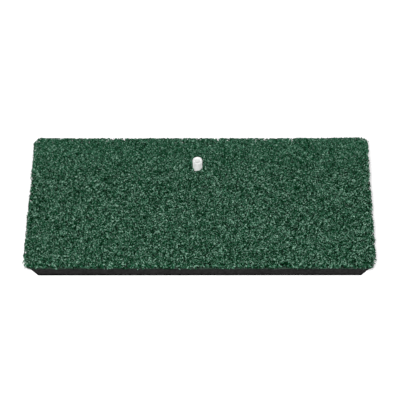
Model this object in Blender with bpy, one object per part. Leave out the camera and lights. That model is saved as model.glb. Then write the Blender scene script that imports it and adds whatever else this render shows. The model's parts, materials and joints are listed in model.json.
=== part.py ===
"""Golf hitting mat: tufted turf on a foam pad and a thin rubber sole, with a rubber tee.

Metres, +Z up. The origin is the middle of the mat's underside, +X runs along the long side, and
+Y points to the long side that the tee stands nearer to.
"""

import math

import bmesh
import bpy

# Plan of the mat
MAT_LENGTH = 0.610
MAT_WIDTH = 0.305
CORNER_CUT = 0.0215  # each leg of the 45 degree cuts at the pad's four corners
TURF_CORNER_ROUND = 0.009  # the turf reaches out over those cuts
PILE_OVERHANG = 0.0015  # the pile leans out past the layers under it

# Layers, from the floor up
GAP = 0.0003  # between pieces that touch
SOLE_THICKNESS = 0.0030
FOAM_THICKNESS = 0.0123
COAT_THICKNESS = 0.0008
CLOTH_THICKNESS = 0.0007
PILE_HEIGHT = 0.0115
EDGE_ROUND = 0.0008  # worn edges of the foam
EDGE_SEGMENTS = 2
PILE_EDGE_ROUND = 0.0030
PILE_EDGE_SEGMENTS = 3

# Grooves along the underside of the sole
GROOVE_PITCH = 0.012
GROOVE_WIDTH = 0.005
GROOVE_DEPTH = 0.0012
GROOVE_COUNT = 24
GROOVE_END_MARGIN = 0.030

# Tee
TEE_X = -0.0053
TEE_Y = 0.0785
TEE_TOP = 0.0505
TUBE_RADIUS = 0.0084
BORE_RADIUS = 0.0058
LIP_RADIUS = 0.0086
LIP_ROUND = 0.0006
LIP_DEPTH = 0.0030  # height of the thick part of the lip
LIP_TAPER = 0.0030  # it thins down to the tube over this height
SEAT_RADIUS = 0.0074  # inner edge of the flat rim
SEAT_DEPTH = 0.0040  # the mouth narrows to the bore over this depth
FLANGE_RADIUS = 0.0250
FLANGE_BOTTOM = 0.0004
FLANGE_TOP = 0.0030
FLANGE_DISH = 0.0004  # how much thinner the flange is at its rim
FLANGE_CHAMFER = 0.0004
FOOT_FILLET = 0.0020

# The tube bends where it leaves the pile: a ball end turns in a cup around this height
BEND_HEIGHT = 0.0280
BALL_RADIUS = 0.00855
CUP_RIM_RADIUS = 0.0076
CUP_RIM_BEVEL = 0.0010

# Holes that the tee passes through
FLANGE_HOLE_RADIUS = FLANGE_RADIUS + 0.0006
PAD_HOLE_RADIUS = LIP_RADIUS + GAP
PAD_HOLE_MOUTH = 0.0019  # countersink under the pad, over the foot's fillet
TURF_HOLE_RADIUS = PAD_HOLE_RADIUS + 0.0005
PILE_FLARE_RADIUS = 0.0130  # top of the funnel that the bent tube leans into
PILE_FLARE_DEPTH = 0.0043

ROUND_STEPS = 64
ARC_STEPS = 8
FILLET_STEPS = 4
CORNER_STEPS = 6
CUTTER_MARGIN = 0.002
MERGE = 1e-6
SMOOTH_ANGLE = math.radians(35)
RIM_ANGLE = math.radians(60)  # an edge sharper than this gets rounded

COLOURS = {
    "turf_green": ((0.030, 0.088, 0.053), 0.90),
    "cloth_green": ((0.040, 0.080, 0.055), 0.85),
    "latex_grey": ((0.200, 0.190, 0.170), 0.70),
    "foam_black": ((0.020, 0.020, 0.021), 0.80),
    "rubber_black": ((0.010, 0.010, 0.011), 0.65),
    "tee_white": ((0.780, 0.790, 0.780), 0.45),
}


def clear_scene():
    for obj in list(bpy.data.objects):
        bpy.data.objects.remove(obj, do_unlink=True)


def material(name):
    colour, roughness = COLOURS[name]
    made = bpy.data.materials.new(name)
    made.use_nodes = True
    shader = made.node_tree.nodes["Principled BSDF"]
    shader.inputs["Base Color"].default_value = (*colour, 1.0)
    shader.inputs["Roughness"].default_value = roughness
    shader.inputs["Metallic"].default_value = 0.0
    return made


def placed(name, builder, location=(0.0, 0.0, 0.0), finish=None):
    """An object in the scene from a bmesh, with its faces turned outwards."""
    bmesh.ops.remove_doubles(builder, verts=builder.verts, dist=MERGE)
    bmesh.ops.recalc_face_normals(builder, faces=builder.faces)
    mesh = bpy.data.meshes.new(name)
    builder.to_mesh(mesh)
    builder.free()
    obj = bpy.data.objects.new(name, mesh)
    obj.location = location
    bpy.context.scene.collection.objects.link(obj)
    if finish:
        mesh.materials.append(material(finish))
    return obj


def cutter(obj):
    obj.hide_render = True
    obj.display_type = "WIRE"
    return obj


def cut(obj, tool):
    boolean = obj.modifiers.new("cut_" + tool.name, "BOOLEAN")
    boolean.operation = "DIFFERENCE"
    boolean.solver = "EXACT"
    boolean.object = tool


def rounded_edges(obj, width, segments):
    bevel = obj.modifiers.new("edges", "BEVEL")
    bevel.width = width
    bevel.segments = segments
    bevel.limit_method = "ANGLE"
    bevel.angle_limit = RIM_ANGLE


def plate(low, high, corner, corner_steps, overhang=0.0):
    """A bmesh slab of the mat's plan between two heights.

    One corner step cuts each corner straight off, and more of them round it.
    """
    slab = bmesh.new()
    bmesh.ops.create_cube(slab, size=1.0)
    scale = (MAT_LENGTH + 2 * overhang, MAT_WIDTH + 2 * overhang, high - low)
    bmesh.ops.scale(slab, verts=slab.verts, vec=scale)
    bmesh.ops.translate(slab, verts=slab.verts, vec=(0.0, 0.0, (low + high) / 2))
    upright = [e for e in slab.edges if abs(e.verts[0].co.z - e.verts[1].co.z) > MERGE]
    bmesh.ops.bevel(
        slab, geom=upright, offset=corner, segments=corner_steps, profile=0.5, affect="EDGES"
    )
    return slab


def pad_plate(low, high):
    return plate(low, high, CORNER_CUT, 1)


def turf_plate(low, high, overhang=0.0):
    return plate(low, high, TURF_CORNER_ROUND + overhang, CORNER_STEPS, overhang)


def turned(profile, closed):
    """A bmesh solid of revolution about Z, from (radius, height) points.

    A closed profile makes a ring. An open one starts and ends on the axis.
    """
    solid = bmesh.new()
    points = [solid.verts.new((radius, 0, height)) for radius, height in profile]
    ends = points[1:] + points[:1] if closed else points[1:]
    edges = [solid.edges.new(pair) for pair in zip(points, ends)]
    bmesh.ops.spin(
        solid,
        geom=points + edges,
        cent=(0, 0, 0),
        axis=(0, 0, 1),
        angle=math.tau,
        steps=ROUND_STEPS,
        use_merge=True,
    )
    return solid


def arc(centre, radius, start, end, steps=ARC_STEPS):
    """(radius, height) points on an arc, from start to end in degrees."""
    found = []
    for i in range(steps + 1):
        angle = math.radians(start + (end - start) * i / steps)
        found.append((centre[0] + radius * math.cos(angle), centre[1] + radius * math.sin(angle)))
    return found


def tee_hole(name, steps):
    """A cutter on the tee's axis whose radius changes at the given (radius, height) steps."""
    profile = [(0.0, steps[0][1]), *steps, (0.0, steps[-1][1])]
    return cutter(placed(name, turned(profile, closed=False), (TEE_X, TEE_Y, 0.0)))


def make_sole(low, high):
    sole = placed("rubber_sole", pad_plate(low, high), finish="rubber_black")
    below = low - CUTTER_MARGIN
    above = high + CUTTER_MARGIN
    cut(sole, tee_hole("flange_hole", [(FLANGE_HOLE_RADIUS, below), (FLANGE_HOLE_RADIUS, above)]))
    grooves = bmesh.new()
    length = MAT_LENGTH - 2 * GROOVE_END_MARGIN
    top = low + GROOVE_DEPTH
    for i in range(GROOVE_COUNT):
        y = (i - (GROOVE_COUNT - 1) / 2) * GROOVE_PITCH
        block = bmesh.ops.create_cube(grooves, size=1.0)["verts"]
        bmesh.ops.scale(grooves, verts=block, vec=(length, GROOVE_WIDTH, top - below))
        bmesh.ops.translate(grooves, verts=block, vec=(0.0, y, (top + below) / 2))
    cut(sole, cutter(placed("grooves", grooves)))


def make_foam(low, high):
    foam = placed("foam_pad", pad_plate(low, high), finish="foam_black")
    rounded_edges(foam, EDGE_ROUND, EDGE_SEGMENTS)
    radius = PAD_HOLE_RADIUS
    mouth = radius + PAD_HOLE_MOUTH + CUTTER_MARGIN
    steps = [
        (mouth, low - CUTTER_MARGIN),
        (radius, low + PAD_HOLE_MOUTH),
        (radius, high + CUTTER_MARGIN),
    ]
    cut(foam, tee_hole("pad_hole", steps))


def make_turf_layer(name, low, high, finish):
    layer = placed(name, turf_plate(low, high), finish=finish)
    radius = TURF_HOLE_RADIUS
    cut(layer, tee_hole(name + "_hole", [(radius, low - CUTTER_MARGIN), (radius, high + CUTTER_MARGIN)]))


def make_pile(low, high):
    pile = placed("turf_pile", turf_plate(low, high, PILE_OVERHANG), finish="turf_green")
    rounded_edges(pile, PILE_EDGE_ROUND, PILE_EDGE_SEGMENTS)
    flare_slope = (PILE_FLARE_RADIUS - PAD_HOLE_RADIUS) / PILE_FLARE_DEPTH
    steps = [
        (PAD_HOLE_RADIUS, low - CUTTER_MARGIN),
        (PAD_HOLE_RADIUS, high - PILE_FLARE_DEPTH),
        (PILE_FLARE_RADIUS + flare_slope * CUTTER_MARGIN, high + CUTTER_MARGIN),
    ]
    cut(pile, tee_hole("pile_hole", steps))


def smooth(obj):
    obj.data.shade_smooth()
    obj.data.set_sharp_from_angle(angle=SMOOTH_ANGLE)


def make_tee_foot():
    """The flange under the mat and the tube up to the bend, hollow from end to end."""
    cup_radius = BALL_RADIUS + GAP
    rim_angle = -math.degrees(math.acos(CUP_RIM_RADIUS / cup_radius))
    bore_angle = -math.degrees(math.acos(BORE_RADIUS / cup_radius))
    rim_height = BEND_HEIGHT + cup_radius * math.sin(math.radians(rim_angle))
    edge_top = FLANGE_TOP - FLANGE_DISH
    profile = [
        (BORE_RADIUS, FLANGE_BOTTOM),
        (FLANGE_RADIUS - FLANGE_CHAMFER, FLANGE_BOTTOM),
        (FLANGE_RADIUS, FLANGE_BOTTOM + FLANGE_CHAMFER),
        (FLANGE_RADIUS, edge_top - FLANGE_CHAMFER),
        (FLANGE_RADIUS - FLANGE_CHAMFER, edge_top),
        *arc((TUBE_RADIUS + FOOT_FILLET, FLANGE_TOP + FOOT_FILLET), FOOT_FILLET, 270, 180, FILLET_STEPS),
        (TUBE_RADIUS, rim_height - CUP_RIM_BEVEL),
        *arc((0.0, BEND_HEIGHT), cup_radius, rim_angle, bore_angle),
    ]
    foot = placed("tee_foot", turned(profile, closed=True), (TEE_X, TEE_Y, 0.0), "tee_white")
    smooth(foot)
    return foot


def make_tee_tube(foot):
    """The upright tube above the bend, whose origin is the middle of the bend."""
    top = TEE_TOP - BEND_HEIGHT
    wall_angle = -math.degrees(math.acos(TUBE_RADIUS / BALL_RADIUS))
    bore_angle = -math.degrees(math.acos(BORE_RADIUS / BALL_RADIUS))
    seat = SEAT_RADIUS - BORE_RADIUS
    mouth = [
        (BORE_RADIUS + seat * (1 - math.sin(t)), top - SEAT_DEPTH * (1 - math.cos(t)))
        for t in (math.pi / 2 * i / ARC_STEPS for i in range(ARC_STEPS + 1))
    ]
    profile = [
        *arc((0.0, 0.0), BALL_RADIUS, bore_angle, wall_angle),
        (TUBE_RADIUS, top - LIP_DEPTH - LIP_TAPER),
        (LIP_RADIUS, top - LIP_DEPTH),
        *arc((LIP_RADIUS - LIP_ROUND, top - LIP_ROUND), LIP_ROUND, 0, 90, FILLET_STEPS),
        *mouth,
    ]
    tube = placed("tee_tube", turned(profile, closed=True), (0.0, 0.0, BEND_HEIGHT), "tee_white")
    tube.parent = foot
    smooth(tube)


def main():
    clear_scene()
    low = 0.0
    make_sole(low, low + SOLE_THICKNESS)
    low += SOLE_THICKNESS + GAP
    make_foam(low, low + FOAM_THICKNESS)
    low += FOAM_THICKNESS + GAP
    make_turf_layer("latex_coat", low, low + COAT_THICKNESS, "latex_grey")
    low += COAT_THICKNESS + GAP
    make_turf_layer("primary_backing", low, low + CLOTH_THICKNESS, "cloth_green")
    low += CLOTH_THICKNESS + GAP
    make_pile(low, low + PILE_HEIGHT)
    make_tee_tube(make_tee_foot())


main()
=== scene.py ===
"""Looks of the golf hitting mat: crimped tufts, woven backing, foam, rubber sole and rubber tee."""

import json
import math

import bmesh
import bpy
import numpy as np
from mathutils import Matrix, Vector


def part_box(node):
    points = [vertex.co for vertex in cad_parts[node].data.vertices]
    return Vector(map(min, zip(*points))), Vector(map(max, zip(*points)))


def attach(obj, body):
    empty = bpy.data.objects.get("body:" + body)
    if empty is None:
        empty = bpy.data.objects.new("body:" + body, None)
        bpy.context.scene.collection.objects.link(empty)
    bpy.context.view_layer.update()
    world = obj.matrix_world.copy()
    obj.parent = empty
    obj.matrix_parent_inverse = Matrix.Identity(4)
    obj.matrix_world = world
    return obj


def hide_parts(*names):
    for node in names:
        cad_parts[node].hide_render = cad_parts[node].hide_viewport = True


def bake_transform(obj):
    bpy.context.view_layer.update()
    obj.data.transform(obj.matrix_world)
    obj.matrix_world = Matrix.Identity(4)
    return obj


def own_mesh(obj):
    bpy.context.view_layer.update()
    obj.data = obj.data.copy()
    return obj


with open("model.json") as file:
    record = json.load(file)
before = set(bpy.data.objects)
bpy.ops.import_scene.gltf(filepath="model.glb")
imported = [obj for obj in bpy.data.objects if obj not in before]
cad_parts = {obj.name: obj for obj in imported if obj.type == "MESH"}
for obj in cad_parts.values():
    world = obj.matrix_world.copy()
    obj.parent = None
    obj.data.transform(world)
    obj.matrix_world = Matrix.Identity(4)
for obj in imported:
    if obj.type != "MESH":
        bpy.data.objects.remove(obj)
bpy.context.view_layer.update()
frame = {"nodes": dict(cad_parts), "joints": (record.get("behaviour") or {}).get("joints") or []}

MM = 0.001
SEED = 24

# Camera: a long lens, looking down on the near long side
CAMERA_ELEVATION = 47.73
CAMERA_YAW = -1.21
CAMERA_ROLL = -0.97
CAMERA_DISTANCE = 3.3646
CAMERA_LENS = 167.25
CAMERA_TARGET = Vector((-0.5 * MM, 13.5 * MM, 14.2 * MM))

# Places read from the frame
PILE_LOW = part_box("turf_pile")[0].z
PILE_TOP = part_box("turf_pile")[1].z
HALF_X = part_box("foam_pad")[1].x
HALF_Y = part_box("foam_pad")[1].y
TEE_X, TEE_Y, BEND_Z = next(j for j in frame["joints"] if j["name"] == "tee_bend")["pos_m"]
TEE_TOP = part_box("tee_tube")[1].z
TEE_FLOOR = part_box("tee_foot")[0].z
FLANGE_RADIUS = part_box("tee_foot")[1].x - TEE_X
LIP_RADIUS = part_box("tee_tube")[1].x - TEE_X

# Mat
PAD_CORNER_CUT = 21.5 * MM
TURF_CORNER_ROUND = 9.0 * MM
PAD_HOLE_RADIUS = 8.9 * MM
PAD_HOLE_MOUTH = 1.9 * MM
TURF_HOLE_RADIUS = 9.4 * MM
HOLE_STEPS = 64

# Tufts: staggered rows, with spare tufts in the outermost row
STITCH = 3.5 * MM
GAUGE = 4.0 * MM
ROOT_JITTER = 0.8 * MM
TUFT_RADIUS = 0.9 * MM
FILAMENTS = 5
EDGE_MARGIN = 1.0 * MM
ROOT_CLEAR_OF_EDGE = 0.6 * MM
EDGE_ROW = 2.8 * MM
EDGE_SPARES = 2
ROOT_CLEAR_OF_TEE = 10.2 * MM
STRIPS = 8

# Filaments: flat ribbons with stations along them, closest together where they fold over
RIBBON_WIDTH = 1.9 * MM
RIBBON_LENGTH = 17.0 * MM
STATIONS = np.array([0.0, 0.30, 0.44, 0.54, 0.62, 0.70, 0.775, 0.85, 0.925, 1.0])
CRIMP_TILT = 0.65
FIELD_LEAN = 0.3 * MM
FIELD_SIZE = 70 * MM
CORNERS_TALLER = 0.16
FAR_SIDE_TALLER = 0.07
TONE_PATCH_SIZE = 45 * MM

# Pile along the outline: it leans out, spills over, droops and hangs
EDGE_PUSH = 2.3 * MM
EDGE_PUSH_FADE = 5 * MM
HANG_CLEAR = 0.2 * MM

# Pile round the tee, and the part of it that a bent tee sweeps aside
TEE_CLEAR = 9.1 * MM
TEE_LEAN = 2.2 * MM
TEE_LEAN_FADE = 3 * MM
TEE_LIFT = 6.0 * MM
TEE_LIFT_FADE = 2.5 * MM
SWEEP_NEAR = 3.0 * MM
SWEEP_FAR = 17.0 * MM
SWEEP_HALF_Y = 11.2 * MM

# Tee
TUBE_RADIUS = 8.4 * MM
BORE_RADIUS = 5.8 * MM
SEAT_RADIUS = 7.4 * MM
SEAT_DEPTH = 4.0 * MM
LIP_ROUND = 0.6 * MM
LIP_HEIGHT = 3.0 * MM
LIP_TAPER = 3.0 * MM
FLANGE_TOP = 3.0 * MM
FLANGE_RIM_ROUND = 0.8 * MM
FLANGE_DISH = 0.4 * MM
FLANGE_DISH_START = 21 * MM
UNDERSIDE_START = 9.0 * MM
FOOT_FILLET = 2.0 * MM
BORE_ROUND = 0.4 * MM
PARTING_LINE = 0.08 * MM
SKIN_WAVES = 0.02 * MM
# Depth below the tee's top of the painted shade on its rim
PAINTED_RIM_SHADE_DEPTH = 0.8 * MM
LATHE_STEPS = 96
TUBE_SPACING = 1.2 * MM
FLANGE_SPACING = 3 * MM


# ---------------------------------------------------------------- materials


def new_material(name):
    made = bpy.data.materials.new(name)
    made.use_nodes = True
    tree = made.node_tree
    return made, tree, tree.nodes["Principled BSDF"]


def node(tree, kind, **values):
    made = tree.nodes.new("ShaderNode" + kind)
    for key, value in values.items():
        setattr(made, key, value)
    return made


def noise(tree, scale, detail=2.0):
    """Noise in the mat's own metres, from 0 to 1."""
    where = node(tree, "TexCoord")
    made = node(tree, "TexNoise")
    made.inputs["Scale"].default_value = scale
    made.inputs["Detail"].default_value = detail
    tree.links.new(where.outputs["Object"], made.inputs["Vector"])
    return made.outputs["Fac"]


def cells(tree, scale):
    """Round cells in the mat's own metres, darkest in the middle of each."""
    where = node(tree, "TexCoord")
    made = node(tree, "TexVoronoi")
    made.inputs["Scale"].default_value = scale
    tree.links.new(where.outputs["Object"], made.inputs["Vector"])
    return made.outputs["Distance"]


def ramp(tree, source, stops):
    """A colour for each value of the source, between (position, colour) stops."""
    made = node(tree, "ValToRGB")
    elements = made.color_ramp.elements
    while len(elements) < len(stops):
        elements.new(0.5)
    for element, (position, colour) in zip(elements, stops):
        element.position = position
        element.color = (*colour, 1.0)
    tree.links.new(source, made.inputs["Fac"])
    return made.outputs["Color"]


def multiplied(tree, first, second):
    mix = node(tree, "Mix", data_type="RGBA", blend_type="MULTIPLY")
    mix.inputs["Factor"].default_value = 1.0
    tree.links.new(first, mix.inputs["A"])
    tree.links.new(second, mix.inputs["B"])
    return mix.outputs["Result"]


def rough_between(tree, shader, source, low, high):
    made = node(tree, "MapRange")
    made.inputs["To Min"].default_value = low
    made.inputs["To Max"].default_value = high
    tree.links.new(source, made.inputs["Value"])
    tree.links.new(made.outputs["Result"], shader.inputs["Roughness"])


def bumped(tree, shader, sources, distance):
    """A surface raised by the sum of (height, share) sources, in metres at full height."""
    total = None
    for source, share in sources:
        scaled = node(tree, "Math", operation="MULTIPLY")
        scaled.inputs[1].default_value = share
        tree.links.new(source, scaled.inputs[0])
        if total is None:
            total = scaled.outputs[0]
            continue
        added = node(tree, "Math", operation="ADD")
        tree.links.new(total, added.inputs[0])
        tree.links.new(scaled.outputs[0], added.inputs[1])
        total = added.outputs[0]
    made = node(tree, "Bump")
    made.inputs["Distance"].default_value = distance
    tree.links.new(total, made.inputs["Height"])
    tree.links.new(made.outputs["Normal"], shader.inputs["Normal"])


def grey(value):
    return (value, value, value)


def turf_material():
    """Nylon ribbons: the first UV coordinate is a filament's tone, the second its height in the pile.

    Filaments are dark at their roots, where little light gets in, and differ in tone from each other.
    """
    made, tree, shader = new_material("turf_yarn")
    where = node(tree, "UVMap", uv_map="OFBake")
    parts = node(tree, "SeparateXYZ")
    tree.links.new(where.outputs["UV"], parts.inputs[0])
    tone = ramp(
        tree,
        parts.outputs["X"],
        [
            (0.00, (0.000, 0.008, 0.002)),
            (0.30, (0.001, 0.027, 0.008)),
            (0.55, (0.014, 0.067, 0.035)),
            (0.80, (0.055, 0.137, 0.090)),
            (1.00, (0.168, 0.282, 0.214)),
        ],
    )
    depth = ramp(
        tree,
        parts.outputs["Y"],
        [(0.0, grey(0.05)), (0.55, grey(0.15)), (0.85, grey(0.6)), (1.0, grey(1.1))],
    )
    tree.links.new(multiplied(tree, tone, depth), shader.inputs["Base Color"])
    rough_between(tree, shader, parts.outputs["X"], 0.60, 0.42)
    shader.inputs["Specular IOR Level"].default_value = 0.015
    return made


def backing_material():
    """Woven tape cloth: two crossed sets of flat tapes, painted darker where the weave dips, as shade in
    its hollows, and darker overall than the cloth's own green, as painted shade in the gap between pile and
    foam.
    """
    made, tree, shader = new_material("backing_weave")
    where = node(tree, "TexCoord")
    height = None
    for direction in ("X", "Y"):
        wave = node(tree, "TexWave", wave_type="BANDS", bands_direction=direction)
        wave.inputs["Scale"].default_value = 120.0
        tree.links.new(where.outputs["Object"], wave.inputs["Vector"])
        if height is None:
            height = wave.outputs["Fac"]
            continue
        crossed = node(tree, "Math", operation="MULTIPLY")
        tree.links.new(height, crossed.inputs[0])
        tree.links.new(wave.outputs["Fac"], crossed.inputs[1])
        height = crossed.outputs[0]
    colour = ramp(tree, height, [(0.0, (0.012, 0.028, 0.018)), (1.0, (0.050, 0.095, 0.066))])
    tree.links.new(colour, shader.inputs["Base Color"])
    shader.inputs["Roughness"].default_value = 0.7
    shader.inputs["Specular IOR Level"].default_value = 0.2
    bumped(tree, shader, [(height, 1.0)], 0.2 * MM)
    return made


def latex_material():
    """Dull latex with the mottle of its filler, kept much darker than the latex's own grey as painted shade
    in the gap between pile and foam.
    """
    made, tree, shader = new_material("latex_coat")
    mottle = [(0.3, (0.030, 0.042, 0.035)), (0.7, (0.090, 0.106, 0.092))]
    colour = ramp(tree, noise(tree, 120.0, 4.0), mottle)
    tree.links.new(colour, shader.inputs["Base Color"])
    rough_between(tree, shader, noise(tree, 300.0), 0.5, 0.8)
    shader.inputs["Specular IOR Level"].default_value = 0.2
    bumped(tree, shader, [(noise(tree, 240.0, 3.0), 1.0)], 0.25 * MM)
    return made


def foam_material():
    """Closed-cell foam, skived to size: fine open cells on the cut sides, painted darker in their middles
    as shade in the hollows, and a faint mottle.
    """
    made, tree, shader = new_material("pad_foam")
    mottle = ramp(tree, noise(tree, 220.0, 4.0), [(0.30, grey(0.006)), (0.70, grey(0.016))])
    # Painted shade: each open cell is painted darker towards its middle, as shade in its hollow.
    painted_pore_shade = ramp(tree, cells(tree, 1400.0), [(0.10, grey(0.55)), (0.45, grey(1.0))])
    tree.links.new(multiplied(tree, mottle, painted_pore_shade), shader.inputs["Base Color"])
    rough_between(tree, shader, noise(tree, 500.0), 0.75, 0.95)
    shader.inputs["Specular IOR Level"].default_value = 0.07
    bumped(tree, shader, [(cells(tree, 1400.0), 0.7), (noise(tree, 400.0, 3.0), 0.6)], 0.35 * MM)
    return made


def sole_material():
    """Moulded rubber with a fine matt grain and a little dust in it, kept near black partly as the rubber's
    own black and partly as painted shade of the contact shadow along the mat's bottom edge.
    """
    made, tree, shader = new_material("sole_rubber")
    colour = ramp(tree, noise(tree, 45.0, 5.0), [(0.3, grey(0.0006)), (0.75, grey(0.004))])
    tree.links.new(colour, shader.inputs["Base Color"])
    rough_between(tree, shader, noise(tree, 220.0, 3.0), 0.55, 0.8)
    shader.inputs["Specular IOR Level"].default_value = 0.03
    bumped(tree, shader, [(noise(tree, 2200.0, 2.0), 1.0)], 0.12 * MM)
    return made


def tee_material(bore_from):
    """White rubber that light soaks into, with a matt moulded skin. The seat and the bore are painted
    lighter than the outside, against the shade inside them, and the top of the rim is painted darker, as
    shade against the strong light on it.

    The second UV coordinate runs along the section, and is above bore_from in the seat and the bore.
    """
    made, tree, shader = new_material("tee_rubber")
    mottle = [(0.3, (0.72, 0.73, 0.72)), (0.7, (0.775, 0.785, 0.775))]
    colour = ramp(tree, noise(tree, 220.0, 4.0), mottle)
    section = node(tree, "SeparateXYZ")
    tree.links.new(node(tree, "UVMap", uv_map="OFBake").outputs["UV"], section.inputs[0])
    # Painted light: the seat and the bore are painted lighter than the outside, against the shade inside
    # them.
    painted_bore_light = ramp(tree, section.outputs["Y"], [(bore_from, grey(0.925)), (bore_from + 0.02, grey(1.0))])
    colour = multiplied(tree, colour, painted_bore_light)
    place = node(tree, "SeparateXYZ")
    tree.links.new(node(tree, "TexCoord").outputs["Object"], place.inputs[0])
    near_rim = node(tree, "MapRange")
    near_rim.inputs["From Min"].default_value = TEE_TOP - PAINTED_RIM_SHADE_DEPTH
    near_rim.inputs["From Max"].default_value = TEE_TOP
    tree.links.new(place.outputs["Z"], near_rim.inputs["Value"])
    # Painted shade: the top of the rim is painted darker, against the strong light on it.
    painted_rim_shade = ramp(tree, near_rim.outputs["Result"], [(0.0, grey(1.0)), (1.0, (0.78, 0.79, 0.78))])
    tree.links.new(multiplied(tree, colour, painted_rim_shade), shader.inputs["Base Color"])
    rough_between(tree, shader, noise(tree, 420.0, 3.0), 0.36, 0.52)
    shader.inputs["Sheen Weight"].default_value = 1.0
    shader.inputs["Sheen Roughness"].default_value = 0.35
    shader.inputs["Subsurface Weight"].default_value = 0.8
    shader.inputs["Subsurface Radius"].default_value = (1.0, 1.0, 1.0)
    shader.inputs["Subsurface Scale"].default_value = 3.5 * MM
    bumped(tree, shader, [(noise(tree, 1500.0), 1.0)], 0.05 * MM)
    return made


# ---------------------------------------------------------------- pile


def outside(x, y):
    """Signed distance past the turf's outline, which is below 0 inside it, and the way out from there."""
    corner = TURF_CORNER_ROUND
    dx = np.abs(x) - (HALF_X - corner)
    dy = np.abs(y) - (HALF_Y - corner)
    in_corner = (dx > 0) & (dy > 0)
    out_x = np.where(in_corner, dx, (dx >= dy).astype(float))
    out_y = np.where(in_corner, dy, (dx < dy).astype(float))
    size = np.maximum(np.hypot(out_x, out_y), 1e-9)
    distance = np.where(in_corner, np.hypot(dx, dy), np.maximum(dx, dy)) - corner
    return distance, out_x / size * np.sign(x), out_y / size * np.sign(y)


def smoothstep(low, high, value):
    t = np.clip((value - low) / (high - low), 0, 1)
    return t * t * (3 - 2 * t)


def unit(vectors):
    return vectors / np.maximum(np.linalg.norm(vectors, axis=-1, keepdims=True), 1e-9)


def wander(x, y, rng, size, waves=6):
    """A smooth random field over the mat, with about unit spread, whose features are about size across."""
    total = np.zeros_like(x)
    for _ in range(waves):
        turn = rng.uniform(0, math.tau)
        reach = math.tau / (size * rng.uniform(0.7, 1.6))
        total += np.sin((x * math.cos(turn) + y * math.sin(turn)) * reach + rng.uniform(0, math.tau))
    return total / math.sqrt(waves / 2)


def tuft_roots(rng):
    """Where the tufts stand: staggered rows, with spare tufts along the outline and none at the tee."""
    columns = np.arange(-HALF_X + EDGE_MARGIN, HALF_X - EDGE_MARGIN / 2, STITCH)
    row_count = round(2 * (HALF_Y - EDGE_MARGIN) / GAUGE) + 1
    rows = np.linspace(-HALF_Y + EDGE_MARGIN, HALF_Y - EDGE_MARGIN, row_count)
    x, y = (values.ravel() for values in np.meshgrid(columns, rows))
    x = x + (np.round((y + HALF_Y) / GAUGE) % 2) * STITCH / 2
    x = x + rng.normal(0, ROOT_JITTER, x.size)
    y = y + rng.normal(0, ROOT_JITTER, y.size)
    past, _, _ = outside(x, y)
    rim = (past < -ROOT_CLEAR_OF_EDGE) & (past > -EDGE_ROW)
    rim_x, rim_y = (np.tile(values[rim], EDGE_SPARES) for values in (x, y))
    x = np.concatenate([x, rim_x + rng.normal(0, ROOT_JITTER, rim_x.size)])
    y = np.concatenate([y, rim_y + rng.normal(0, ROOT_JITTER, rim_y.size)])
    past, _, _ = outside(x, y)
    from_tee = np.hypot(x - TEE_X, y - TEE_Y)
    keep = (past < -ROOT_CLEAR_OF_EDGE) & (from_tee > ROOT_CLEAR_OF_TEE)
    return x[keep], y[keep]


def crimped_paths(rng, count):
    """Centre lines from one root, as (filament, station, 3), and the heading at each station.

    Each filament rises, folds over and lies down, and its crimp swings it from side to side on the way.
    """
    along = STATIONS[None, :]
    fold_start = rng.uniform(0.28, 0.60, count)[:, None]
    fold = smoothstep(fold_start, 1.0, along)
    root_tilt = np.abs(rng.normal(0, 0.25, count))[:, None]
    tip_tilt = np.clip(rng.normal(1.75, 0.38, count), 0.9, 2.5)[:, None]
    tilt = root_tilt * (1 - fold) + tip_tilt * fold
    turn = rng.normal(0, 1.3, count)[:, None]
    crimp = rng.uniform(0.5, 1.1, count)[:, None]
    cycles = rng.uniform(3.0, 5.0, count)[:, None]
    phase = rng.uniform(0, math.tau, count)[:, None]
    swing = math.tau * cycles * along + phase
    heading = rng.uniform(0, math.tau, count)[:, None] + turn * fold + crimp * np.sin(swing)
    tilt = tilt + CRIMP_TILT * np.cos(swing) * fold

    mid_tilt = (tilt[:, 1:] + tilt[:, :-1]) / 2
    mid_heading = (heading[:, 1:] + heading[:, :-1]) / 2
    length = RIBBON_LENGTH * rng.uniform(0.85, 1.15, count)[:, None]
    run = length * np.diff(STATIONS)[None, :]
    steps = np.stack(
        [
            run * np.sin(mid_tilt) * np.cos(mid_heading),
            run * np.sin(mid_tilt) * np.sin(mid_heading),
            run * np.cos(mid_tilt),
        ],
        2,
    )
    return np.concatenate([np.zeros((count, 1, 3)), np.cumsum(steps, 1)], 1), heading


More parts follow.
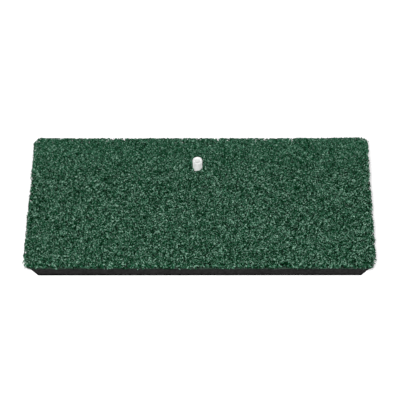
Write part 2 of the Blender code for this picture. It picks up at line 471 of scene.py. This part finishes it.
def filament_paths(rng, x, y):
    """Centre lines of all filaments, their heading, tone and painted edge light at each station, and their
    tufts.
    """
    owner = np.repeat(np.arange(x.size), FILAMENTS)
    count = owner.size
    around = rng.uniform(0, math.tau, count)
    spread = TUFT_RADIUS * np.sqrt(rng.uniform(0, 1, count))
    base_x = x[owner] + spread * np.cos(around)
    base_y = y[owner] + spread * np.sin(around)
    path, heading = crimped_paths(rng, count)

    bushy = far_corners(base_x, base_y)
    uneven = 1 + 0.03 * rng.normal(0, 1, x.size)[owner] + 0.04 * rng.normal(0, 1, count)
    uneven += CORNERS_TALLER * bushy
    uneven += FAR_SIDE_TALLER * smoothstep(HALF_Y - 9 * MM, HALF_Y - 2 * MM, base_y)
    tall = (PILE_TOP - PILE_LOW) * np.clip(uneven, 0.8, 1.25)
    path[..., 2] *= (tall / path[..., 2].max(1))[:, None]
    path += np.stack([base_x, base_y, np.full(count, PILE_LOW)], 1)[:, None, :]

    lean_field = [wander(base_x, base_y, rng, FIELD_SIZE) for _ in "xy"]
    rise = (path[..., 2] - PILE_LOW) / (PILE_TOP - PILE_LOW)
    for axis, field in enumerate(lean_field):
        path[..., axis] += FIELD_LEAN * field[:, None] * rise**2

    path, painted_edge_light = spilled_edges(rng, path, bushy)
    path = parted_round_tee(rng, path)
    return path, heading, filament_tones(rng, base_x, base_y, painted_edge_light), painted_edge_light, owner


def filament_tones(rng, base_x, base_y, painted_edge_light):
    """Tone at each station, from 0 to 1. Filaments differ most at the front, and least at the outline.
    Along each filament the tone jumps from station to station, as painted glints and shade where its crimp
    turns it towards and away from the light.
    """
    calm = smoothstep(0.1, 0.9, base_y / HALF_Y)
    tone = 0.419 + 0.12 * calm + 0.015 * wander(base_x, base_y, rng, TONE_PATCH_SIZE)
    tone += (0.32 - 0.19 * calm) * rng.normal(0, 1, base_x.size)
    # Painted glints and shade: random tone from station to station, as the crimp turns each filament
    # towards and away from the light.
    painted_crimp_light = (0.53 - 0.24 * calm[:, None]) * rng.normal(0, 1, (base_x.size, len(STATIONS)))
    # Painted light: stations past the outline are painted lighter, and their painted glints and shade are
    # weaker.
    tone = tone[:, None] + painted_crimp_light * (1 - 0.6 * painted_edge_light) + 0.06 * painted_edge_light
    return np.clip(tone, 0.02, 0.98)


def far_corners(x, y):
    """From 0 over most of the mat to 1 at its two far corners, where the pile bushes out most."""
    return smoothstep(0.70, 1.0, np.abs(x) / HALF_X) * smoothstep(0.55, 1.0, y / HALF_Y)


def facing_far(out_y):
    """From 0 to 1 as the way out of the outline turns to the far long side, where the pile spills least."""
    return smoothstep(0.4, 1.0, out_y)


def spilled_edges(rng, path, bushy):
    """Filaments along the outline lean out and hang over it, but no further than a few millimetres.

    Returns the paths, and how exposed each station is, from 0 in the pile to 1 past the outline, which sets
    how much lighter it is painted.
    """
    count = len(path)
    past, out_x, out_y = outside(path[..., 0], path[..., 1])
    push = EDGE_PUSH * np.exp(np.minimum(past, 0) / EDGE_PUSH_FADE) * rng.uniform(0.4, 1.4, count)[:, None]
    far = facing_far(out_y)
    push *= 1 + 0.9 * bushy[:, None] * (1 - far) - 0.2 * far
    push *= np.clip((path[..., 2] - PILE_LOW) / (PILE_TOP - PILE_LOW), 0, 1)
    path[..., 0] += out_x * push
    path[..., 1] += out_y * push

    past, out_x, out_y = outside(path[..., 0], path[..., 1])
    limit = rng.uniform(3.5, 7.5, count)[:, None] * (1 - 0.5 * facing_far(out_y)) * MM
    over = np.maximum(past, 0)
    kept = limit * (1 - np.exp(-over / limit))
    path[..., 0] -= out_x * (over - kept)
    path[..., 1] -= out_y * (over - kept)
    droop = rng.uniform(0.5, 1.5, count)[:, None] * kept
    hang = rng.uniform(-1.2, 3.0, count).clip(0)[:, None] * MM * smoothstep(0.6 * MM, 1.6 * MM, kept)
    path[..., 2] = np.maximum(path[..., 2] - droop, PILE_LOW + HANG_CLEAR - hang)
    return path, smoothstep(-3.0 * MM, 1.0 * MM, past)


def parted_round_tee(rng, path):
    """Filaments near the tee lean against its tube and climb it a little, and none of them runs into it."""
    away = path[..., :2] - np.array([TEE_X, TEE_Y])
    reach = np.linalg.norm(away, axis=2, keepdims=True)
    rise = np.clip((path[..., 2:] - PILE_LOW) / (PILE_TOP - PILE_LOW), 0, 1)
    lean = TEE_LEAN * rise * np.exp(-np.maximum(reach - TEE_CLEAR, 0) / TEE_LEAN_FADE)
    clear = TEE_CLEAR + rng.uniform(0, 0.5, len(path))[:, None, None] * MM
    wanted = np.maximum(reach - lean, clear)
    path[..., :2] += away / np.maximum(reach, 1e-6) * (wanted - reach)
    lift = rng.uniform(0, 1, len(path))[:, None, None] ** 2 * TEE_LIFT
    path[..., 2:] += lift * rise**2 * np.exp(-np.maximum(wanted - TEE_CLEAR, 0) / TEE_LIFT_FADE)
    return path


def ribbon_mesh(name, rng, path, heading, tone, painted_edge_light):
    """Flat ribbons along the paths, bent over their flat side and twisted a little along their run."""
    count, stations, _ = path.shape
    along = unit(np.gradient(path, axis=1))
    level = np.stack([-np.sin(heading), np.cos(heading), 0 * heading], 2)
    side = unit(level - along * (level * along).sum(2, keepdims=True))
    other = np.cross(along, side)
    twist = rng.normal(0, 0.55, count)[:, None] + rng.normal(0, 1.1, count)[:, None] * (STATIONS - 0.7)
    taper = np.linspace(1.0, 0.85, stations)
    width = RIBBON_WIDTH * rng.uniform(0.75, 1.2, count)[:, None] * taper
    across = (side * np.cos(twist)[..., None] + other * np.sin(twist)[..., None]) * (width / 2)[..., None]
    points = np.stack([path - across, path + across], 2).reshape(-1, 3)

    first = np.arange(count)[:, None] * stations * 2 + np.arange(stations - 1)[None, :] * 2
    quads = np.stack([first, first + 1, first + 3, first + 2], 2).reshape(-1)
    faces = count * (stations - 1)
    mesh = bpy.data.meshes.new(name)
    mesh.vertices.add(len(points))
    mesh.vertices.foreach_set("co", points.astype(np.float32).ravel())
    mesh.loops.add(faces * 4)
    mesh.loops.foreach_set("vertex_index", quads.astype(np.int32))
    mesh.polygons.add(faces)
    mesh.polygons.foreach_set("loop_start", np.arange(faces, dtype=np.int32) * 4)
    mesh.update(calc_edges=True)
    mesh.polygons.foreach_set("use_smooth", np.ones(faces, bool))

    u = np.broadcast_to(np.clip(tone[:, :, None] + np.array([-0.02, 0.02]), 0, 1), (count, stations, 2))
    rise = np.clip((points[:, 2] - PILE_LOW) / (PILE_TOP - PILE_LOW), 0, 1).reshape(count, stations, 2)
    # Painted light: stations past the outline are painted as lit as the pile's top.
    rise = np.maximum(rise, painted_edge_light[:, :, None])
    uv = np.stack([u, rise], 3).reshape(-1, 2)
    layer = mesh.uv_layers.new(name="OFBake")
    layer.data.foreach_set("uv", uv[quads].astype(np.float32).ravel())
    obj = bpy.data.objects.new(name, mesh)
    bpy.context.scene.collection.objects.link(obj)
    return obj


def make_pile():
    """The pile in strips from the near side to the far one, and the tufts that a bent tee sweeps aside."""
    rng = np.random.default_rng(SEED)
    x, y = tuft_roots(rng)
    path, heading, tone, painted_edge_light, owner = filament_paths(rng, x, y)
    yarn = turf_material()
    along_x, along_y = np.moveaxis(np.abs(path[..., :2] - np.array([TEE_X, TEE_Y])), 2, 0)
    swept = (along_x > SWEEP_NEAR) & (along_x < SWEEP_FAR) & (along_y < SWEEP_HALF_Y)
    beside_tee = swept.any(1)
    side_x = path[..., 0].mean(1)
    strip = np.floor((y[owner] + HALF_Y) / (2 * HALF_Y) * STRIPS).clip(0, STRIPS - 1).astype(int)
    shares = [(f"turf_strip_{i + 1}", (strip == i) & ~beside_tee) for i in range(STRIPS)]
    shares.append(("tufts_left_of_tee", beside_tee & (side_x < TEE_X)))
    shares.append(("tufts_right_of_tee", beside_tee & (side_x >= TEE_X)))
    pieces = []
    for name, mine in shares:
        obj = ribbon_mesh(name, rng, path[mine], heading[mine], tone[mine], painted_edge_light[mine])
        obj.data.materials.append(yarn)
        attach(obj, "mat")
        pieces.append(obj)
    for obj, side in zip(pieces[STRIPS:], (-1, 1)):
        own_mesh(obj)
    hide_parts("turf_pile")


# ---------------------------------------------------------------- layers under the pile


def mat_outline(corner, corner_steps, spacing):
    """Points round the mat, counter-clockwise. One corner step cuts each corner straight off."""
    corners = []
    for quarter, (sx, sy) in enumerate(((1, 1), (-1, 1), (-1, -1), (1, -1))):
        for step in range(corner_steps + 1):
            angle = (quarter + step / corner_steps) * math.pi / 2
            x = sx * (HALF_X - corner) + corner * math.cos(angle)
            y = sy * (HALF_Y - corner) + corner * math.sin(angle)
            corners.append((x, y))
    corners = np.array(corners)
    points = []
    for start, end in zip(corners, np.roll(corners, -1, 0)):
        parts = max(1, round(np.linalg.norm(end - start) / spacing))
        points.append(start + (end - start) * (np.arange(parts) / parts)[:, None])
    return np.concatenate(points)


def ring_faces(builder, rings):
    """The wall between each ring of points and the next."""
    for low, high in zip(rings, rings[1:]):
        for i in range(len(low)):
            j = (i + 1) % len(low)
            builder.faces.new((low[i], low[j], high[j], high[i]))


def capped(builder, outer, inner):
    """A flat face between an outer ring and the ring of a hole in it."""
    edges = []
    for ring in (outer, inner):
        for i in range(len(ring)):
            pair = (ring[i], ring[(i + 1) % len(ring)])
            edges.append(builder.edges.get(pair) or builder.edges.new(pair))
    bmesh.ops.triangle_fill(builder, use_beauty=True, use_dissolve=False, edges=edges)


def layer_mesh(name, outline, levels, hole_levels, ripple=0.0):
    """A closed layer, with rings round its outside at (inset, height) levels and round the tee's hole.

    An inset is one number, or one for each point of the outline. Ripple lifts and lowers points by turns.
    """
    ahead = np.roll(outline, -1, 0) - np.roll(outline, 1, 0)
    outward = unit(np.stack([ahead[:, 1], -ahead[:, 0]], 1))
    builder = bmesh.new()
    lifts = ripple * (1 - 2 * (np.arange(len(outline)) % 2))
    outer = []
    for inset, height in levels:
        ring = outline - outward * np.broadcast_to(inset, len(outline))[:, None]
        outer.append([builder.verts.new((x, y, height + lift)) for (x, y), lift in zip(ring, lifts)])
    turns = [math.tau * i / HOLE_STEPS for i in range(HOLE_STEPS)]
    inner = []
    for radius, height in hole_levels:
        ring = [(TEE_X + radius * math.cos(a), TEE_Y + radius * math.sin(a)) for a in turns]
        inner.append([builder.verts.new((x, y, height)) for x, y in ring])
    ring_faces(builder, outer)
    ring_faces(builder, inner)
    capped(builder, outer[0], inner[0])
    capped(builder, outer[-1], inner[-1])
    bmesh.ops.recalc_face_normals(builder, faces=builder.faces)
    mesh = bpy.data.meshes.new(name)
    builder.to_mesh(mesh)
    builder.free()
    mesh.shade_smooth()
    mesh.set_sharp_from_angle(angle=math.radians(50))
    obj = bpy.data.objects.new(name, mesh)
    bpy.context.scene.collection.objects.link(obj)
    return obj


def make_backing():
    """The woven cloth that the tufts are sewn through, with its cut edge a little frayed."""
    rng = np.random.default_rng(SEED + 1)
    low, high = (corner.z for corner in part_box("primary_backing"))
    outline = mat_outline(TURF_CORNER_ROUND, 8, 1.3 * MM)
    fray = rng.uniform(-0.25, 0.35, len(outline)) * MM
    levels = [(fray + 0.15 * MM, low), (fray, (low + high) / 2), (fray + 0.15 * MM, high)]
    hole = [(TURF_HOLE_RADIUS, low), (TURF_HOLE_RADIUS, high)]
    cloth = layer_mesh("woven_backing", outline, levels, hole, ripple=0.1 * MM)
    cloth.data.materials.append(backing_material())
    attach(cloth, "mat")
    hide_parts("primary_backing")
    return cloth


def make_latex():
    """The latex spread on the cloth's back, which stops unevenly, a little short of the cut edge."""
    rng = np.random.default_rng(SEED + 2)
    low, high = (corner.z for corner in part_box("latex_coat"))
    outline = mat_outline(TURF_CORNER_ROUND, 8, 3.0 * MM)
    wobble = (1.5 + 0.4 * wander(outline[:, 0], outline[:, 1], rng, 25 * MM)).clip(0.5, 2.5) * MM
    levels = [(wobble + 0.3 * MM, low), (wobble, low + 0.3 * MM), (wobble + 0.1 * MM, high)]
    hole = [(TURF_HOLE_RADIUS, low), (TURF_HOLE_RADIUS, high)]
    coat = layer_mesh("latex_back_coat", outline, levels, hole)
    coat.data.materials.append(latex_material())
    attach(coat, "mat")
    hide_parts("latex_coat")


def make_foam():
    """The foam pad: sides cut by hand, so never quite straight, with soft arrises and a faint waist."""
    rng = np.random.default_rng(SEED + 3)
    low, high = (corner.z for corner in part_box("foam_pad"))
    outline = mat_outline(PAD_CORNER_CUT, 1, 4.0 * MM)
    x, y = outline.T
    # The side's section as (inset in millimetres, height), on top of the least inset anywhere
    least = 0.15
    side = (
        (0.90, low),
        (0.35, low + 0.2 * MM),
        (0.05, low + 0.9 * MM),
        (0.00, low * 0.7 + high * 0.3),
        (0.12, (low + high) / 2),
        (0.00, low * 0.3 + high * 0.7),
        (0.05, high - 0.9 * MM),
        (0.35, high - 0.2 * MM),
        (0.90, high),
    )
    levels = []
    for inset, height in side:
        cut = 0.10 * wander(x, y, rng, 90 * MM) + 0.05 * wander(x, y, rng, 18 * MM)
        levels.append(((inset + least + cut.clip(-least, 0.4)) * MM, height))
    hole = [
        (PAD_HOLE_RADIUS + PAD_HOLE_MOUTH, low),
        (PAD_HOLE_RADIUS, low + PAD_HOLE_MOUTH),
        (PAD_HOLE_RADIUS, high),
    ]
    foam = layer_mesh("foam_slab", outline, levels, hole)
    foam.data.materials.append(foam_material())
    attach(foam, "mat")
    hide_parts("foam_pad")
    return foam


# ---------------------------------------------------------------- tee


def arc(centre, radius, start, end, steps):
    """(radius, height) points on an arc, from start to end in degrees."""
    turns = (math.radians(start + (end - start) * i / steps) for i in range(steps + 1))
    return [(centre[0] + radius * math.cos(t), centre[1] + radius * math.sin(t)) for t in turns]


def run(start, end, spacing):
    """Points from start up to, but not at, end."""
    parts = max(1, round(math.dist(start, end) / spacing))
    return [
        (start[0] + (end[0] - start[0]) * i / parts, start[1] + (end[1] - start[1]) * i / parts)
        for i in range(parts)
    ]


def tee_profile():
    """(radius, height) points round the tee's section, and how many come before its seat and bore."""
    rim = FLANGE_RIM_ROUND
    foot = TUBE_RADIUS + FOOT_FILLET
    flange_edge = FLANGE_TOP - FLANGE_DISH
    lip_low = TEE_TOP - LIP_HEIGHT - LIP_TAPER
    swell = [
        (
            TUBE_RADIUS + (LIP_RADIUS - TUBE_RADIUS) * float(smoothstep(0, 1, i / 5)),
            lip_low + LIP_TAPER * i / 5,
        )
        for i in range(5)
    ]
    seat = [
        (
            BORE_RADIUS + (SEAT_RADIUS - BORE_RADIUS) * (1 - math.sin(t)),
            TEE_TOP - SEAT_DEPTH * (1 - math.cos(t)),
        )
        for t in (math.pi / 2 * i / 10 for i in range(11))
    ]
    bore = run((BORE_RADIUS, TEE_TOP - SEAT_DEPTH - MM), (BORE_RADIUS, TEE_FLOOR + MM), TUBE_SPACING)
    skin = [
        *arc((BORE_RADIUS + BORE_ROUND, TEE_FLOOR + BORE_ROUND), BORE_ROUND, 180, 270, 3),
        *run((UNDERSIDE_START, TEE_FLOOR), (FLANGE_RADIUS - rim, TEE_FLOOR), FLANGE_SPACING),
        *arc((FLANGE_RADIUS - rim, TEE_FLOOR + rim), rim, 270, 360, 4),
        *arc((FLANGE_RADIUS - rim, flange_edge - rim), rim, 0, 90, 4),
        *run((FLANGE_DISH_START, flange_edge + 0.1 * MM), (foot, FLANGE_TOP), FLANGE_SPACING),
        *arc((foot, FLANGE_TOP + FOOT_FILLET), FOOT_FILLET, 270, 180, 6),
        *run((TUBE_RADIUS, FLANGE_TOP + FOOT_FILLET + MM), (TUBE_RADIUS, lip_low), TUBE_SPACING),
        *swell,
        *run((LIP_RADIUS, TEE_TOP - LIP_HEIGHT), (LIP_RADIUS, TEE_TOP - LIP_ROUND), 1.0 * MM),
        *arc((LIP_RADIUS - LIP_ROUND, TEE_TOP - LIP_ROUND), LIP_ROUND, 0, 90, 6),
    ]
    return np.array(skin + seat + bore), len(skin)


def make_tee():
    """The whole tee, one turned moulding with two parting lines up its tube, built straight."""
    rng = np.random.default_rng(SEED + 4)
    profile, seat_start = tee_profile()
    closed = np.concatenate([profile, profile[:1]])
    reach = np.concatenate([[0], np.cumsum(np.linalg.norm(np.diff(closed, axis=0), axis=1))])
    reach /= reach[-1]
    steps, rows = LATHE_STEPS, len(profile)
    turn = np.arange(steps) / steps * math.tau
    radius = np.repeat(profile[:, :1], steps, 1)
    height = np.repeat(profile[:, 1:], steps, 1)
    on_tube = (profile[:, 0] > TUBE_RADIUS - 0.1 * MM) & (profile[:, 1] > FLANGE_TOP + FOOT_FILLET)
    seam = ((np.arange(steps) % (steps // 2)) == 0).astype(float)
    radius += on_tube[:, None] * seam[None, :] * PARTING_LINE
    uneven = sum(
        np.sin(k * turn[None, :] + height * reach_k + rng.uniform(0, math.tau))
        for k, reach_k in ((2, 160.0), (3, 260.0), (5, 90.0))
    )
    radius += SKIN_WAVES * uneven
    points = np.stack([TEE_X + radius * np.cos(turn), TEE_Y + radius * np.sin(turn), height], 2)

    builder = bmesh.new()
    verts = [[builder.verts.new(point) for point in row] for row in points]
    layer = builder.loops.layers.uv.new("OFBake")
    for i in range(rows):
        for j in range(steps):
            k, m = (i + 1) % rows, (j + 1) % steps
            face = builder.faces.new((verts[i][j], verts[i][m], verts[k][m], verts[k][j]))
            corners = ((j, i), (j + 1, i), (j + 1, i + 1), (j, i + 1))
            for loop, (across, up) in zip(face.loops, corners):
                loop[layer].uv = (across / steps, reach[up])
            face.smooth = True
    bmesh.ops.recalc_face_normals(builder, faces=builder.faces)
    mesh = bpy.data.meshes.new("tee")
    builder.to_mesh(mesh)
    builder.free()
    tee = bpy.data.objects.new("rubber_tee", mesh)
    bpy.context.scene.collection.objects.link(tee)
    mesh.materials.append(tee_material(bore_from=float(reach[seat_start])))
    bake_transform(tee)
    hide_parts("tee_foot", "tee_tube")


# ---------------------------------------------------------------- stage


def make_camera():
    """A camera that looks down on the target from the given angles, rolled a little."""
    elevation, yaw, roll = (math.radians(a) for a in (CAMERA_ELEVATION, CAMERA_YAW, CAMERA_ROLL))
    forward = Vector(
        (math.sin(yaw) * math.cos(elevation), math.cos(yaw) * math.cos(elevation), -math.sin(elevation))
    )
    right = Vector((math.cos(yaw), -math.sin(yaw), 0.0))
    up = right.cross(forward)
    right, up = (
        right * math.cos(roll) + up * math.sin(roll),
        up * math.cos(roll) - right * math.sin(roll),
    )
    data = bpy.data.cameras.new("camera")
    data.lens = CAMERA_LENS
    data.sensor_width = 36.0
    camera = bpy.data.objects.new("camera", data)
    turn = Matrix((right, up, -forward)).transposed().to_4x4()
    camera.matrix_world = Matrix.Translation(CAMERA_TARGET - forward * CAMERA_DISTANCE) @ turn
    bpy.context.scene.collection.objects.link(camera)
    bpy.context.scene.camera = camera


def make_light(name, place, size, power):
    """A round softbox that faces the middle of the mat."""
    data = bpy.data.lights.new(name, "AREA")
    data.shape = "DISK"
    data.size = size
    data.energy = power
    light = bpy.data.objects.new(name, data)
    light.location = place
    light.rotation_euler = (-Vector(place)).to_track_quat("-Z", "Y").to_euler()
    bpy.context.scene.collection.objects.link(light)


def make_stage():
    """White studio: even light from all round, a pale floor, a softbox in front and one on each side."""
    world = bpy.data.worlds.new("studio")
    world.use_nodes = True
    world.node_tree.nodes["Background"].inputs["Color"].default_value = (1.0, 1.0, 1.0, 1.0)
    world.node_tree.nodes["Background"].inputs["Strength"].default_value = 0.55
    bpy.context.scene.world = world
    bpy.context.scene.view_settings.view_transform = "Standard"

    builder = bmesh.new()
    bmesh.ops.create_grid(builder, x_segments=1, y_segments=1, size=6.0)
    mesh = bpy.data.meshes.new("floor")
    builder.to_mesh(mesh)
    builder.free()
    floor = bpy.data.objects.new("floor", mesh)
    bpy.context.scene.collection.objects.link(floor)
    made, _, shader = new_material("floor_paper")
    shader.inputs["Base Color"].default_value = (0.96, 0.96, 0.96, 1.0)
    shader.inputs["Roughness"].default_value = 0.9
    shader.inputs["Specular IOR Level"].default_value = 0.1
    mesh.materials.append(made)

    make_light("front", (-0.05, -1.75, 2.2), 0.8, 78.0)
    make_light("left", (-2.0, -1.3, 2.0), 1.4, 17.0)
    make_light("right", (2.0, -1.3, 2.0), 1.4, 10.0)


make_camera()
make_stage()
make_pile()
backing = make_backing()
make_latex()
pad = make_foam()
make_tee()
frame["nodes"]["rubber_sole"].material_slots[0].material = sole_material()
